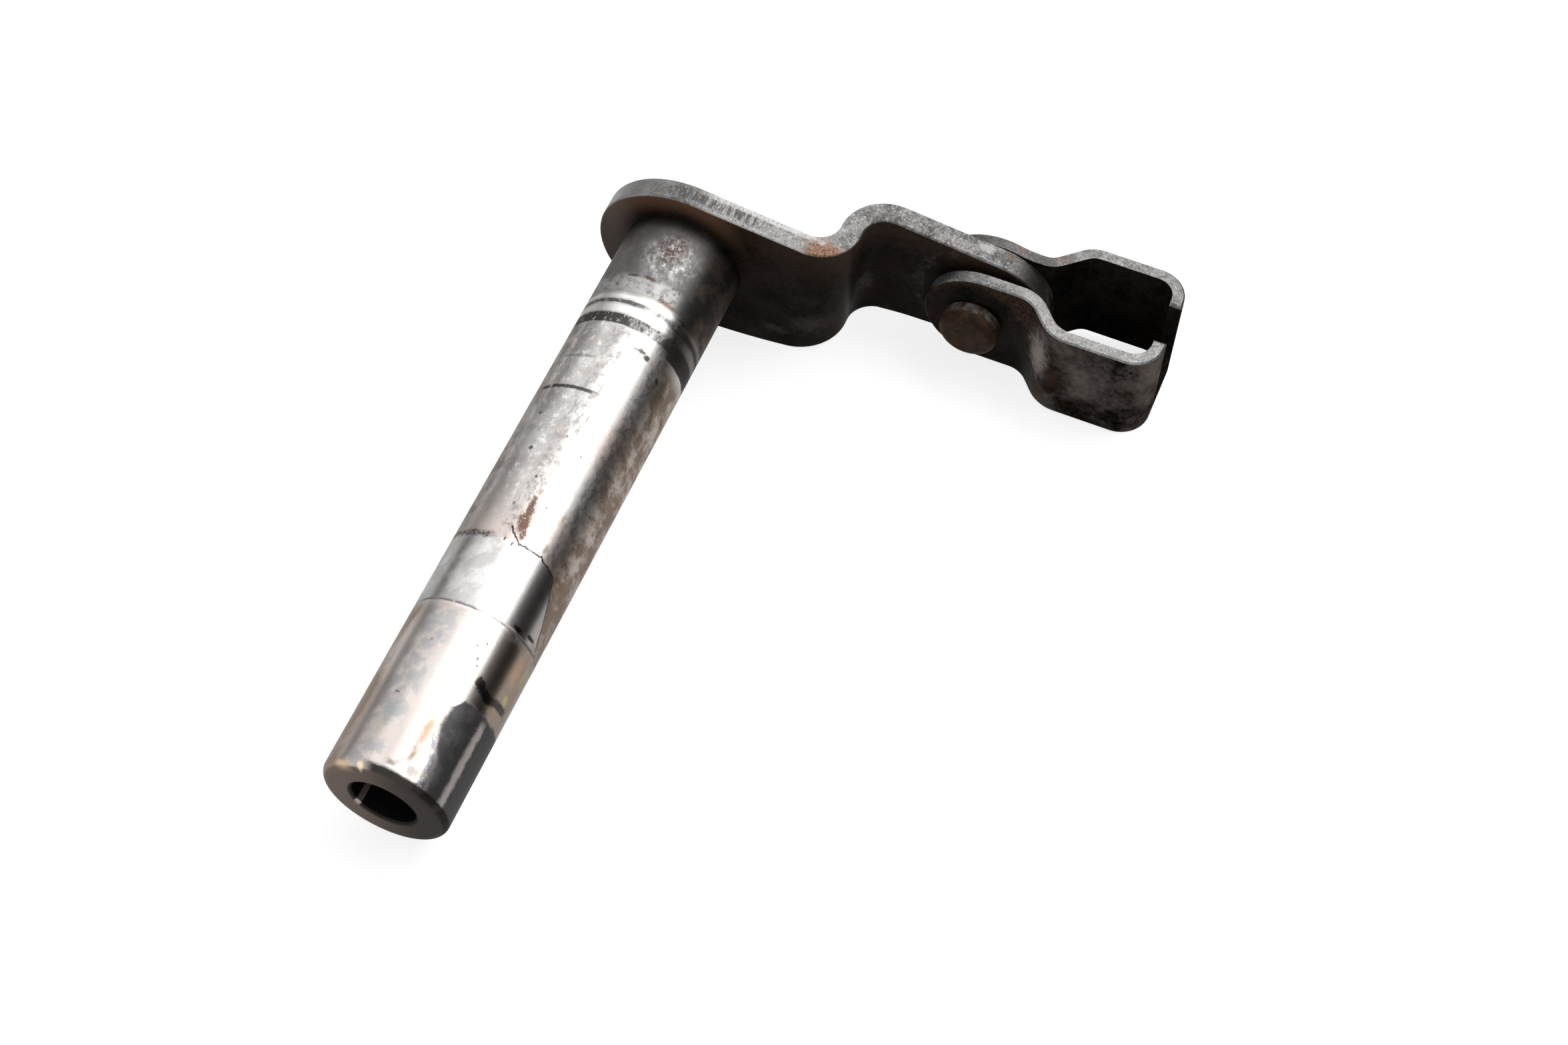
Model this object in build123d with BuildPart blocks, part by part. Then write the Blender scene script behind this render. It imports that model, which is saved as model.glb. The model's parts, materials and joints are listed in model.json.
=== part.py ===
# Clutch lifter lever: turned shaft, stamped arm with a step, and a folded cable clevis on a rivet.
# Millimetres. The shaft's axis is the Y axis, its free end toward -Y. The face of the arm that the
# shaft stands on is the plane y = 0. The arm runs toward +X and falls a little toward the clevis,
# as it does when the lever lies on a bench on its round end and the clevis.
from build123d import *
import os
from math import asin, cos, radians, sin, sqrt

# shaft
shaft_diameter = 12.0
shaft_length = 63.9
shaft_end_round = 0.95
spigot_diameter = 9.0
end_bore_diameter = 6.2
end_bore_depth = 7.0
end_bore_chamfer = 0.3
cam_notch_length = 9.0
cam_notch_depth = 3.4
cam_notch_centre = 49.0
cam_notch_corner = 0.8

# arm
strip_thickness = 2.2
hub_radius = 8.95
arm_end_radius = 6.1
pivot_distance = 28.35
round_end_offset = 0.52
belly_radius = 60.0
belly_end = 12.6
neck_relief = 0.35
neck_radius = 20.0
step_start = 16.05
step_height = 7.4
step_lean = 2.8
step_front_outer_radius = 4.4
step_front_inner_radius = 2.4
step_back_inner_radius = 2.4
step_back_outer_radius = 4.9
arm_edge_round = 0.3
bench_droop = 4.6

# clevis
clevis_thickness = 1.2
clevis_height = 11.35
far_ear_diameter = 12.4
far_ear_blend = 8.0
clevis_reach = 18.6
clevis_lift = 1.5
near_ear_gap = 1.0
near_jog_start = 5.8
near_jog = 3.3
near_jog_run = 2.85
near_bend_radius = 2.6
far_jog_start = 5.9
far_jog = 2.85
far_jog_run = 3.2
far_bend_radius = 1.75
fold_radius = 3.05
cable_slot_width = 4.25
slot_lip_round = 0.5
clevis_edge_bevel = 0.15

# rivet
rivet_shank_diameter = 4.0
rivet_head_diameter = 5.85
rivet_head_height = 2.4
rivet_head_round = 0.8
rivet_head_under_bevel = 0.5
rivet_tail_diameter = 6.0
rivet_tail_height = 1.2
rivet_tail_bevel = 0.5

# fits
pivot_clearance = 0.06
far_ear_clearance = 0.06

# derived positions
shaft_radius = shaft_diameter / 2
pivot_x = pivot_distance * cos(radians(bench_droop))
pivot_z = -pivot_distance * sin(radians(bench_droop))
clevis_fall = bench_droop - clevis_lift
arm_back = step_height + strip_thickness
near_ear_inner = step_height - near_ear_gap
near_ear_outer = near_ear_inner - clevis_thickness
far_ear_inner = arm_back + far_ear_clearance
far_ear_outer = far_ear_inner + clevis_thickness
box_inner_near = near_ear_inner - near_jog
box_inner_far = far_ear_inner + far_jog
box_middle = (box_inner_near + box_inner_far) / 2
ear_radius = clevis_height / 2
far_ear_radius = far_ear_diameter / 2
arm_end_centre = pivot_distance + round_end_offset

arm_x = (cos(radians(bench_droop)), 0, -sin(radians(bench_droop)))
arm_z = (sin(radians(bench_droop)), 0, cos(radians(bench_droop)))
arm_top = Plane(origin=(0, 0, 0), x_dir=arm_x, z_dir=arm_z)
arm_front = Plane(origin=(0, 0, 0), x_dir=arm_x, z_dir=(0, -1, 0))
bend_angle = radians(bench_droop + step_lean)
bend_top = Plane(origin=(0, 0, 0), x_dir=(cos(bend_angle), 0, -sin(bend_angle)),
                 z_dir=(sin(bend_angle), 0, cos(bend_angle)))

clevis_x = (cos(radians(clevis_fall)), 0, -sin(radians(clevis_fall)))
clevis_z = (sin(radians(clevis_fall)), 0, cos(radians(clevis_fall)))
clevis_top = Plane(origin=(pivot_x, 0, pivot_z), x_dir=clevis_x, z_dir=clevis_z)
clevis_front = Plane(origin=(pivot_x, 0, pivot_z), x_dir=clevis_x, z_dir=(0, -1, 0))
clevis_end = Plane(origin=(pivot_x, 0, pivot_z), x_dir=(0, 1, 0), z_dir=clevis_x)
rivet_front = Plane(origin=(pivot_x, 0, pivot_z), x_dir=(1, 0, 0), z_dir=(0, -1, 0))

os.makedirs("parts", exist_ok=True)

# shaft: journal toward -Y, spigot through the arm toward +Y
with BuildPart() as shaft:
    with BuildSketch(Plane.XZ):
        Circle(shaft_radius)
    extrude(amount=shaft_length)
    free_end_rim = shaft.edges().filter_by(GeomType.CIRCLE).sort_by(Axis.Y)[0]
    fillet(free_end_rim, shaft_end_round)
    with BuildSketch(Plane.XZ):
        Circle(spigot_diameter / 2)
    extrude(amount=-strip_thickness)
    with BuildSketch(Plane.XZ.offset(shaft_length)):
        Circle(end_bore_diameter / 2)
    extrude(amount=-end_bore_depth, mode=Mode.SUBTRACT)
    bore_rim = shaft.edges(Select.LAST).filter_by(GeomType.CIRCLE).sort_by(Axis.Y)[0]
    chamfer(bore_rim, end_bore_chamfer)
    # cam notch across the hidden underside
    with BuildSketch(Plane.YZ):
        with Locations((-cam_notch_centre, -shaft_radius)):
            RectangleRounded(cam_notch_length, 2 * cam_notch_depth, cam_notch_corner)
    extrude(amount=shaft_diameter, both=True, mode=Mode.SUBTRACT)

# arm: the strip's step seen along its bend lines, cut to its outline seen along the shaft
with BuildPart() as lever_arm:
    with BuildSketch(bend_top) as step_profile:
        left = -2 * hub_radius
        right = arm_end_centre + 2 * arm_end_radius
        front_foot = (step_start, 0)
        front_head = (step_start, step_height)
        back_foot = (step_start - strip_thickness, strip_thickness)
        back_head = (step_start - strip_thickness, arm_back)
        with BuildLine():
            Polyline((left, 0), front_foot, front_head, (right, step_height), (right, arm_back),
                     back_head, back_foot, (left, strip_thickness), close=True)
        make_face()
        corners = (
            (front_foot, step_front_outer_radius),
            (front_head, step_front_inner_radius),
            (back_foot, step_back_inner_radius),
            (back_head, step_back_outer_radius),
        )
        for corner, radius in corners:
            spot = Vector(corner[0], corner[1], 0)
            fillet(step_profile.vertices().sort_by_distance(spot)[0], radius)
    extrude(amount=2 * hub_radius, both=True)
    with BuildSketch(arm_front) as arm_outline:
        lean = asin((hub_radius - arm_end_radius) / arm_end_centre)
        hub_top = (hub_radius * sin(lean), hub_radius * cos(lean))
        end_top = (arm_end_centre + arm_end_radius * sin(lean), arm_end_radius * cos(lean))
        hub_low = (0, -hub_radius)
        belly_turn = asin(belly_end / belly_radius)
        belly_low = (belly_end, belly_radius * (1 - cos(belly_turn)) - hub_radius)
        end_low = (arm_end_centre, -arm_end_radius)
        neck_low = ((belly_end + arm_end_centre) / 2, -arm_end_radius - neck_relief)
        with BuildLine():
            ThreePointArc(hub_low, (-hub_radius, 0), hub_top)
            Line(hub_top, end_top)
            ThreePointArc(end_top, (arm_end_centre + arm_end_radius, 0), end_low)
            Line(end_low, neck_low)
            Line(neck_low, belly_low)
            RadiusArc(belly_low, hub_low, belly_radius)
        make_face()
        for kink in (neck_low, belly_low):
            spot = Vector(kink[0], kink[1], 0)
            fillet(arm_outline.vertices().sort_by_distance(spot)[0], neck_radius)
    extrude(amount=2 * arm_back, both=True, mode=Mode.INTERSECT)
    hub_face = lever_arm.faces().filter_by(Plane.XZ).sort_by(Axis.Y)[0]
    hub_edge = hub_face.edges().filter_by(GeomType.CIRCLE).sort_by(SortBy.LENGTH)[-1]
    fillet(hub_edge, arm_edge_round)
    with BuildSketch(arm_front):
        Circle(spigot_diameter / 2)
    extrude(amount=-2 * strip_thickness, mode=Mode.SUBTRACT)
    with BuildSketch(rivet_front):
        Circle(rivet_shank_diameter / 2 + pivot_clearance)
    extrude(amount=-2 * arm_back, mode=Mode.SUBTRACT)

# clevis outline seen along the rivet: the far ear is a little wider than the strip
with BuildPart() as clevis_outline:
    with BuildSketch(clevis_front.offset(-box_middle)):
        with Locations((round_end_offset, 0)):
            Circle(ear_radius)
            Rectangle(2 * clevis_reach, clevis_height, align=(Align.MIN, Align.CENTER))
    extrude(amount=2 * arm_back)
    with BuildSketch(clevis_front.offset(-box_middle)) as far_outline:
        with Locations((round_end_offset, 0)):
            Circle(far_ear_radius)
            Rectangle(2 * clevis_reach, clevis_height, align=(Align.MIN, Align.CENTER))
        fillet(far_outline.vertices().sort_by(Axis.X)[:2], far_ear_blend)
    extrude(amount=-2 * arm_back)

# clevis: the folded strip seen from above, cut to that outline, slotted at the end wall
with BuildPart() as clevis:
    with BuildSketch(clevis_top) as fold_profile:
        tail = -2 * far_ear_radius
        wall_near_outer = box_inner_near - clevis_thickness
        wall_far_outer = box_inner_far + clevis_thickness
        near_kink = clevis_thickness * (sqrt(near_jog_run ** 2 + near_jog ** 2) - near_jog_run) / near_jog
        far_kink = clevis_thickness * (sqrt(far_jog_run ** 2 + far_jog ** 2) - far_jog_run) / far_jog
        end_inner = clevis_reach - clevis_thickness
        near_in_a = (near_jog_start, near_ear_inner)
        near_in_b = (near_jog_start + near_jog_run, box_inner_near)
        near_in_c = (end_inner, box_inner_near)
        far_in_c = (end_inner, box_inner_far)
        far_in_b = (far_jog_start + far_jog_run, box_inner_far)
        far_in_a = (far_jog_start, far_ear_inner)
        far_out_a = (far_jog_start - far_kink, far_ear_outer)
        far_out_b = (far_jog_start + far_jog_run - far_kink, wall_far_outer)
        far_out_c = (clevis_reach, wall_far_outer)
        near_out_c = (clevis_reach, wall_near_outer)
        near_out_b = (near_jog_start + near_jog_run - near_kink, wall_near_outer)
        near_out_a = (near_jog_start - near_kink, near_ear_outer)
        with BuildLine():
            Polyline((tail, near_ear_inner), near_in_a, near_in_b, near_in_c, far_in_c, far_in_b, far_in_a,
                     (tail, far_ear_inner), (tail, far_ear_outer), far_out_a, far_out_b, far_out_c,
                     near_out_c, near_out_b, near_out_a, (tail, near_ear_outer), close=True)
        make_face()
        bends = (
            (near_in_a, near_bend_radius + clevis_thickness), (near_in_b, near_bend_radius),
            (near_in_c, fold_radius - clevis_thickness), (far_in_c, fold_radius - clevis_thickness),
            (far_in_b, far_bend_radius), (far_in_a, far_bend_radius + clevis_thickness),
            (far_out_a, far_bend_radius), (far_out_b, far_bend_radius + clevis_thickness),
            (far_out_c, fold_radius), (near_out_c, fold_radius),
            (near_out_b, near_bend_radius + clevis_thickness), (near_out_a, near_bend_radius),
        )
        for corner, radius in bends:
            spot = Vector(corner[0], corner[1], 0)
            fillet(fold_profile.vertices().sort_by_distance(spot)[0], radius)
    extrude(amount=2 * far_ear_radius, both=True)
    add(clevis_outline.part, mode=Mode.INTERSECT)
    near_wall = clevis.faces().filter_by(Plane.XZ).sort_by(Axis.Y)[0]
    wall_edge = near_wall.edges().sort_by(Axis.Z)[-1]
    chamfer(wall_edge, clevis_edge_bevel)
    with BuildSketch(clevis_end.offset(clevis_reach)):
        with Locations((box_middle, 0)):
            Circle(cable_slot_width / 2)
            Rectangle(cable_slot_width, clevis_height, align=(Align.CENTER, Align.MIN))
    extrude(amount=-fold_radius, mode=Mode.SUBTRACT)
    slot_lips = clevis.edges(Select.LAST).filter_by(Axis((0, 0, 0), clevis_x)).sort_by(Axis.Z)[-2:]
    fillet(slot_lips, slot_lip_round)
    with BuildSketch(rivet_front):
        Circle(rivet_shank_diameter / 2)
    extrude(amount=2 * arm_back, both=True, mode=Mode.SUBTRACT)

# rivet: shank through both ears, set head on the shaft's side, closed tail behind
with BuildPart() as clevis_pin:
    with BuildSketch(rivet_front.offset(-near_ear_outer)):
        Circle(rivet_head_diameter / 2)
    extrude(amount=rivet_head_height)
    head_rims = clevis_pin.edges().filter_by(GeomType.CIRCLE).sort_by(Axis.Y)
    fillet(head_rims[0], rivet_head_round)
    chamfer(head_rims[-1], rivet_head_under_bevel)
    with BuildSketch(rivet_front.offset(-near_ear_outer)):
        Circle(rivet_shank_diameter / 2)
    extrude(amount=near_ear_outer - far_ear_outer)
    with BuildSketch(rivet_front.offset(-far_ear_outer)):
        Circle(rivet_tail_diameter / 2)
    extrude(amount=-rivet_tail_height)
    tail_rim = clevis_pin.edges().filter_by(GeomType.CIRCLE).sort_by(Axis.Y)[-1]
    chamfer(tail_rim, rivet_tail_bevel)

shaft.part.label = "shaft"
lever_arm.part.label = "lever_arm"
clevis.part.label = "clevis"
clevis_pin.part.label = "clevis_pin"
export_step(shaft.part, "parts/shaft.step")
export_step(lever_arm.part, "parts/lever_arm.step")
export_step(clevis.part, "parts/clevis.step")
export_step(clevis_pin.part, "parts/clevis_pin.step")
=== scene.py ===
import json
from math import radians

import bpy
from mathutils import Euler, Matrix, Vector


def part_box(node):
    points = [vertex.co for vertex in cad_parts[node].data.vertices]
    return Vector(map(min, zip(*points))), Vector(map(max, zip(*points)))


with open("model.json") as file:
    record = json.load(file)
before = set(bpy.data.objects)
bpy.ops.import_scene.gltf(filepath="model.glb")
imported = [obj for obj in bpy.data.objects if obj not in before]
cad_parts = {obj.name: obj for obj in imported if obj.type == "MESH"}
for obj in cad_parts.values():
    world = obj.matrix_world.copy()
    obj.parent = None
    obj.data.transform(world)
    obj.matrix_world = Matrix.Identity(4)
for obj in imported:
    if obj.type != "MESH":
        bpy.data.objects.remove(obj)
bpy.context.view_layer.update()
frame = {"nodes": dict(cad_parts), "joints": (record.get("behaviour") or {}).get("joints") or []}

MILLIMETRE = 0.001

# camera: where the photograph was taken from
CAMERA_PLACE = (0.0781559, -0.1474081, 0.2042970)
CAMERA_TURN_DEG = (33.51166, 1.63331, 22.55459)
CAMERA_LENS_MM = 61.943
SENSOR_WIDTH_MM = 36.0

# The stage below is in metres.

# table: the plane that the arm's belly, the shaft's end and the clevis touch
TABLE_NORMAL = (-0.00847, 0.0498, 0.99872)
TABLE_DROP = 0.0091235
TABLE_SIZE = 6.0
TABLE_GLOW = 0.78

# upright dark cards: name, centre, width and height, turn about the vertical in degrees
UPRIGHT_CARDS = (
    ("right_card", (0.55, 0.25, 0.15), (1.3, 0.38), -62),
    ("left_card", (-0.264, 0.111, 0.035), (0.6, 0.10), 62),
)

# dark card that lies on the table beside the shaft, a painted shadow that only the metal mirrors: where its
# left edge is, its size, and how far it clears the table
SHADOW_CARD_LEFT = 0.036
SHADOW_CARD_SIZE = (0.7, 0.9)
SHADOW_CARD_LIFT = 0.00003

# lamps: name, place, the point that they face, width and height, power in watts
LAMPS = (
    ("overhead_softbox", (0.186, 0.2165, 0.4085), (0.02, -0.02, 0.0), (0.54, 0.36), 1.6),
    ("side_softbox", (-0.21, 0.235, 0.37), (0.0, -0.02, 0.0), (0.26, 0.40), 0.20),
)

# world: its strength where it lights the part, and where it is seen or mirrored
WORLD_LIGHT = 0.5
WORLD_SEEN = 1.0


class Graph:
    """A node tree that is built line by line: each input takes a value or another node's output."""

    def __init__(self, tree):
        self.tree = tree

    def join(self, socket, value):
        if isinstance(value, bpy.types.NodeSocket):
            self.tree.links.new(value, socket)
        else:
            socket.default_value = value

    def node(self, kind, inputs=(), **settings):
        made = self.tree.nodes.new(kind)
        for name, value in settings.items():
            setattr(made, name, value)
        for key, value in dict(inputs).items():
            self.join(made.inputs[key], value)
        return made

    def group(self, tree, **inputs):
        made = self.tree.nodes.new("ShaderNodeGroup")
        made.node_tree = tree
        for name, value in inputs.items():
            self.join(made.inputs[name.replace("_", " ").title()], value)
        return made

    def math(self, operation, first, second=0.0):
        return self.node("ShaderNodeMath", {0: first, 1: second}, operation=operation).outputs[0]

    def plus(self, first, second):
        return self.math("ADD", first, second)

    def minus(self, first, second):
        return self.math("SUBTRACT", first, second)

    def product(self, *factors):
        result = factors[0]
        for factor in factors[1:]:
            result = self.math("MULTIPLY", result, factor)
        return result

    def greatest(self, *values):
        result = values[0]
        for value in values[1:]:
            result = self.math("MAXIMUM", result, value)
        return result

    def invert(self, value):
        return self.minus(1.0, value)

    def distance(self, first, second, centre=(0.0, 0.0)):
        """Distance from a centre in the plane of two coordinates."""
        squares = []
        for value, middle in zip((first, second), centre):
            gap = self.math("ABSOLUTE", self.minus(value, middle))
            squares.append(self.math("POWER", gap, 2.0))
        return self.math("SQRT", self.plus(*squares))

    def rise(self, value, low, high):
        """Smooth step: 0 up to low, 1 from high."""
        made = self.node("ShaderNodeMapRange", {0: value, 1: low, 2: high}, interpolation_type="SMOOTHSTEP")
        return made.outputs[0]

    def fall(self, value, low, high):
        """Smooth step down: 1 up to low, 0 from high."""
        return self.invert(self.rise(value, low, high))

    def band(self, value, centre, half, edge):
        """Soft-edged stripe: 1 within half of the centre."""
        return self.group(band_group, value=value, centre=centre, half=half, edge=edge).outputs[0]

    def blot(self, first, second, noise, at, half, ragged, edge):
        """Ragged oval on a surface with two coordinates."""
        return self.group(
            blot_group, first=first, second=second, at_first=at[0], at_second=at[1],
            half_first=half[0], half_second=half[1], noise=noise, ragged=ragged, edge=edge).outputs[0]

    def amount(self, factor, first, second):
        made = self.node("ShaderNodeMix", {0: factor, 2: first, 3: second}, data_type="FLOAT")
        return made.outputs[0]

    def blend(self, factor, first, second):
        made = self.node("ShaderNodeMix", {0: factor, 6: first, 7: second}, data_type="RGBA")
        return made.outputs[2]

    def paint(self, tone, over, *masks):
        """Lays a colour over the tone, as far as the product of the masks says."""
        return self.blend(self.product(*masks), tone, over)

    def noise(self, vector, size, detail, roughness):
        """Noise whose blotches are about size millimetres across."""
        made = self.node(
            "ShaderNodeTexNoise",
            {"Vector": vector, "Scale": 1.0 / size, "Detail": detail, "Roughness": roughness},
        )
        return made.outputs["Fac"]

    def waver(self, value, noise, by):
        """The value, moved to and fro by a noise."""
        return self.plus(value, self.product(self.minus(noise, 0.5), by))

    def stretch(self, vector, factors):
        made = self.node("ShaderNodeVectorMath", {0: vector, 1: factors}, operation="MULTIPLY")
        return made.outputs[0]

    def shift(self, vector, by):
        made = self.node("ShaderNodeVectorMath", {0: vector, 1: by}, operation="ADD")
        return made.outputs[0]

    def bump(self, height, depth_mm, strength):
        inputs = {"Height": height, "Distance": depth_mm * MILLIMETRE, "Strength": strength}
        return self.node("ShaderNodeBump", inputs).outputs[0]


def colour(red, green, blue):
    return (red, green, blue, 1.0)


def new_group(name, inputs, outputs):
    """An empty shader group with float, vector or colour sockets."""
    kinds = {"value": "NodeSocketFloat", "vector": "NodeSocketVector", "colour": "NodeSocketColor"}
    tree = bpy.data.node_groups.new(name, "ShaderNodeTree")
    for label, kind in inputs:
        tree.interface.new_socket(label, in_out="INPUT", socket_type=kinds[kind])
    for label, kind in outputs:
        tree.interface.new_socket(label, in_out="OUTPUT", socket_type=kinds[kind])
    graph = Graph(tree)
    start = tree.nodes.new("NodeGroupInput")
    end = tree.nodes.new("NodeGroupOutput")
    return graph, start.outputs, end.inputs


def build_place_group():
    """The point in millimetres, and its three coordinates."""
    outputs = [("Place", "vector"), ("Across", "value"), ("Back", "value"), ("Up", "value")]
    graph, _, end = new_group("place in millimetres", [], outputs)
    here = graph.node("ShaderNodeTexCoord").outputs["Object"]
    scaling = {0: here, "Scale": 1 / MILLIMETRE}
    scaled = graph.node("ShaderNodeVectorMath", scaling, operation="SCALE").outputs[0]
    split = graph.node("ShaderNodeSeparateXYZ", {0: scaled}).outputs
    graph.join(end["Place"], scaled)
    for label, output in zip(("Across", "Back", "Up"), split):
        graph.join(end[label], output)
    return graph.tree


def build_blot_group():
    """A ragged oval on a surface with two coordinates."""
    inputs = [
        ("First", "value"), ("Second", "value"), ("At First", "value"), ("At Second", "value"),
        ("Half First", "value"), ("Half Second", "value"), ("Noise", "value"), ("Ragged", "value"),
        ("Edge", "value"),
    ]
    graph, start, end = new_group("blot", inputs, [("Mask", "value")])
    shares = []
    for coordinate in ("First", "Second"):
        offset = graph.minus(start[coordinate], start["At " + coordinate])
        shares.append(graph.math("DIVIDE", offset, start["Half " + coordinate]))
    ragged = graph.waver(graph.distance(*shares), start["Noise"], start["Ragged"])
    graph.join(end["Mask"], graph.fall(ragged, graph.invert(start["Edge"]), 1.0))
    return graph.tree


def build_band_group():
    """A soft-edged stripe: 1 within half of the centre."""
    inputs = [("Value", "value"), ("Centre", "value"), ("Half", "value"), ("Edge", "value")]
    graph, start, end = new_group("band", inputs, [("Mask", "value")])
    away = graph.math("ABSOLUTE", graph.minus(start["Value"], start["Centre"]))
    outer = graph.plus(start["Half"], start["Edge"])
    graph.join(end["Mask"], graph.fall(away, start["Half"], outer))
    return graph.tree


place_group = build_place_group()
blot_group = build_blot_group()
band_group = build_band_group()


def new_material(name):
    """A material with an empty tree that ends in one Principled shader."""
    material = bpy.data.materials.new(name)
    material.use_nodes = True
    material.node_tree.nodes.clear()
    graph = Graph(material.node_tree)
    shader = graph.node("ShaderNodeBsdfPrincipled")
    output = graph.node("ShaderNodeOutputMaterial")
    graph.join(output.inputs["Surface"], shader.outputs[0])
    return material, graph, shader.inputs


# ground steel, with the painted shade of the left flank and the grey of mottles painted along the
# highlight's border
SHAFT_STEEL = colour(0.56, 0.545, 0.53)
SHAFT_GREY = colour(0.34, 0.33, 0.325)
SHAFT_PINK = colour(0.50, 0.40, 0.36)
SHAFT_PALE = colour(0.82, 0.81, 0.80)
SHAFT_SHADE = colour(0.105, 0.101, 0.097)
SHAFT_DARK = colour(0.040, 0.037, 0.035)
SHAFT_BLACK = colour(0.018, 0.016, 0.015)
HIGHLIGHT_BORDER_GREY = colour(0.150, 0.140, 0.134)
FLANK_LEFT_SHADE = colour(0.27, 0.24, 0.222)
FLANK_BLOTCH = colour(0.115, 0.092, 0.082)
FLANK_LIGHT = colour(0.44, 0.385, 0.34)
FLANK_BROWN = colour(0.165, 0.115, 0.080)

# dull zone beside the arm, and the brown in the painted shade on its right
NEAR_ARM_HAZE = colour(0.24, 0.235, 0.23)
NEAR_ARM_RUBBED = colour(0.46, 0.45, 0.44)
NEAR_ARM_SCUFF = colour(0.60, 0.585, 0.575)
NEAR_ARM_SHADE_BROWN = colour(0.105, 0.078, 0.062)

# polished band, and the painted shade on its right flank
BAND_GREY = colour(0.44, 0.44, 0.44)
BAND_FLANK_SHADE = colour(0.175, 0.155, 0.140)

# free end: the metal, the dark patch on it, the face with its painted shade and painted glint, and the
# bore's painted gleam
END_WARM = colour(0.63, 0.56, 0.51)
END_COOL = colour(0.33, 0.34, 0.36)
END_BROWN = colour(0.235, 0.160, 0.110)
END_FLANK = colour(0.165, 0.118, 0.085)
PATCH_SHADE = colour(0.060, 0.060, 0.063)
PATCH_HAZE = colour(0.17, 0.17, 0.18)
PATCH_BORDER = colour(0.20, 0.205, 0.235)
PATCH_STREAK = colour(0.46, 0.42, 0.41)
FACE_WARM = colour(0.150, 0.118, 0.100)
FACE_SHADE = colour(0.045, 0.038, 0.034)
FACE_GLINT = colour(1.0, 0.78, 0.52)
BORE_GLEAM = colour(0.42, 0.36, 0.33)

# rust and stains
RUST = colour(0.060, 0.030, 0.019)
RUST_DULL = colour(0.070, 0.036, 0.028)
RUST_BROWN = colour(0.150, 0.085, 0.057)
RUST_ORANGE = colour(0.205, 0.100, 0.052)
STAIN_BROWN = colour(0.095, 0.068, 0.042)
STAIN_SOIL = colour(0.125, 0.100, 0.052)
STAIN_TAN = colour(0.40, 0.245, 0.155)
STAIN_ORANGE = colour(0.60, 0.41, 0.24)
STAIN_GREEN = colour(0.36, 0.34, 0.15)
STAIN_OLIVE = colour(0.40, 0.385, 0.32)
STAIN_BLUISH = colour(0.30, 0.31, 0.33)
STAIN_SLATE = colour(0.30, 0.30, 0.32)
STAIN_LEAD = colour(0.19, 0.19, 0.20)
PEACH = colour(0.245, 0.168, 0.112)
PEACH_BROWN = colour(0.13, 0.080, 0.048)

# Places on the shaft are millimetres from the arm, and turns are degrees about the shaft's axis:
# 0 faces the way that the arm points, 90 faces up and 180 faces left.
SHAFT_LENGTH = -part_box("shaft")[0][1] / MILLIMETRE
NEAR_ARM_END = 9.6
BAND_START = 38.8
BAND_END = 46.2
RIM_START = SHAFT_LENGTH - 0.9
FACE_START = SHAFT_LENGTH - 0.18
BORE_RADIUS = 3.1
SHAFT_GRAIN_MM = 0.015

# the polished band's upper border turns aside to the right, first gently and then sharply
SOFT_TURN = 52.0
SOFT_SLOPE = 0.045
SHARP_TURN = 32.5
SHARP_SLOPE = 0.215

# hairline branch above that border: where it meets the turn 77, and its slope
BRANCH_START = 38.6
BRANCH_TURN = 77.0
BRANCH_SLOPE = 0.11

# dark patch at the free end: its start, the turn of its left border, its pale streak, the line above it
PATCH_START = 54.0
PATCH_TURN = 57.0
STREAK_TURN = 23.5
PATCH_LINE = 52.4

# dark rings: distance from the arm, half width, soft edge, strength, first and last turn
DARK_RINGS = (
    (10.75, 0.16, 0.14, 0.85, -60, 170),
    (12.80, 0.50, 0.22, 0.95, -60, 170),
    (13.30, 0.75, 0.20, 0.97, -60, 44),
    (17.7, 0.05, 0.20, 0.45, 95, 132),
    (21.5, 0.13, 0.14, 0.90, 74, 142),
    (BAND_END, 0.07, 0.12, 0.80, 4, 140),
)

# bright rings: distance from the arm, half width, soft edge, strength
BRIGHT_RINGS = (
    (10.15, 0.14, 0.12, 0.75),
    (11.6, 0.30, 0.18, 0.80),
    (BAND_END + 0.35, 0.05, 0.12, 0.50),
)

# rust specks and rust streaks beside the arm: distance, turn, half length, half turn
NEAR_ARM_RUST = ((3.3, 80.0, 2.8, 20.0), (9.0, 66.0, 0.6, 16.0), (7.6, 60.0, 1.0, 10.0))
NEAR_ARM_STREAKS = ((7.45, 88.0, 0.30, 7.0), (7.5, 104.0, 0.22, 9.0))

# long rust stain on top, in three overlapping ovals: distance, turn, half length, half turn
LONG_RUST = ((34.9, 81.0, 1.3, 4.2), (36.6, 79.6, 1.7, 6.8), (37.8, 75.5, 0.9, 3.6))

# dark bars beside the notch: distance, turn
NOTCH_BARS = ((45.75, 40.0), (45.5, 22.0))

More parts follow.
